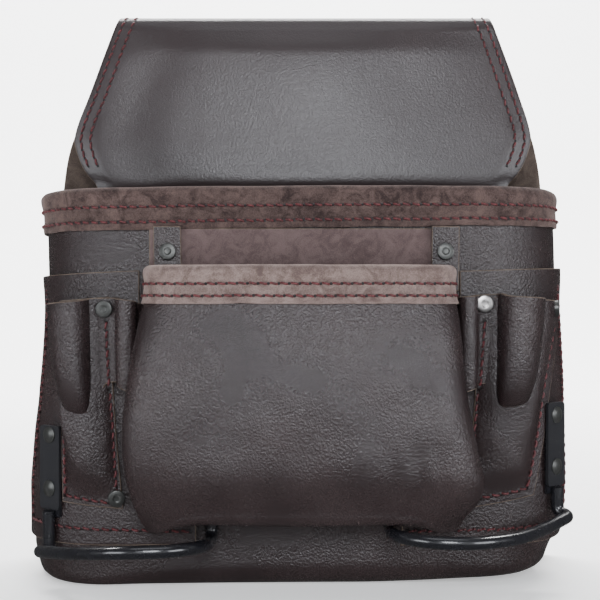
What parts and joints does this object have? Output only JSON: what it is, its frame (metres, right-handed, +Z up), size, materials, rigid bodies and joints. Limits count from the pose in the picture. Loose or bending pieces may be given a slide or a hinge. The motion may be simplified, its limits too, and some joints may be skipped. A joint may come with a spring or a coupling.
{
  "type": "electrician tool pouch",
  "caption": "Leather tool pouch with a belt tunnel, a deep main pouch, a front pocket, side and plier pockets, tool tubes and fixed steel hammer loops.",
  "frame": {"origin": "middle of the box round the whole pouch, at its base", "axes": "+Z up, -Y the front of the pouch, +Y towards the wearer, +X to the right of a person facing the front"},
  "size_m": [0.2924, 0.1286, 0.308],
  "materials": {
    "body_leather": "dark brown oiled full grain, soft gloss",
    "top_leather": "dark brown oiled full grain, soft gloss",
    "binding_suede": "brown suede, matt",
    "backing_suede": "brown suede, matt",
    "black_steel": "gloss black coated wire",
    "plate_steel": "dark plated steel",
    "dark_rivets": "dark plated steel, worn",
    "bright_rivets": "bright steel"
  },
  "bodies": {
    "root": {"back_panel": "top_leather", "front_panel": "body_leather", "front_pocket": "body_leather", "front_pocket_binding": "binding_suede", "hammer_loop_left": "black_steel", "hammer_loop_right": "black_steel", "loop_plate_left_inner": "plate_steel", "loop_plate_left_outer": "plate_steel", "loop_plate_right_inner": "plate_steel", "loop_plate_right_outer": "plate_steel", "mouth_binding": "binding_suede", "plate_rivets_left": "dark_rivets", "plate_rivets_right": "dark_rivets", "plier_pocket_left": "body_leather", "plier_pocket_right": "body_leather", "pocket_backing": "backing_suede", "pocket_rivets_left": "dark_rivets", "pocket_rivets_right": "bright_rivets", "pocket_strap_left": "body_leather", "pocket_strap_right": "body_leather", "rivet_burrs": "dark_rivets", "side_pocket_left": "body_leather", "side_pocket_right": "body_leather", "strap_rivets": "dark_rivets", "tool_tubes_left": "body_leather", "tool_tubes_right": "body_leather"}
  },
  "joints": []
}
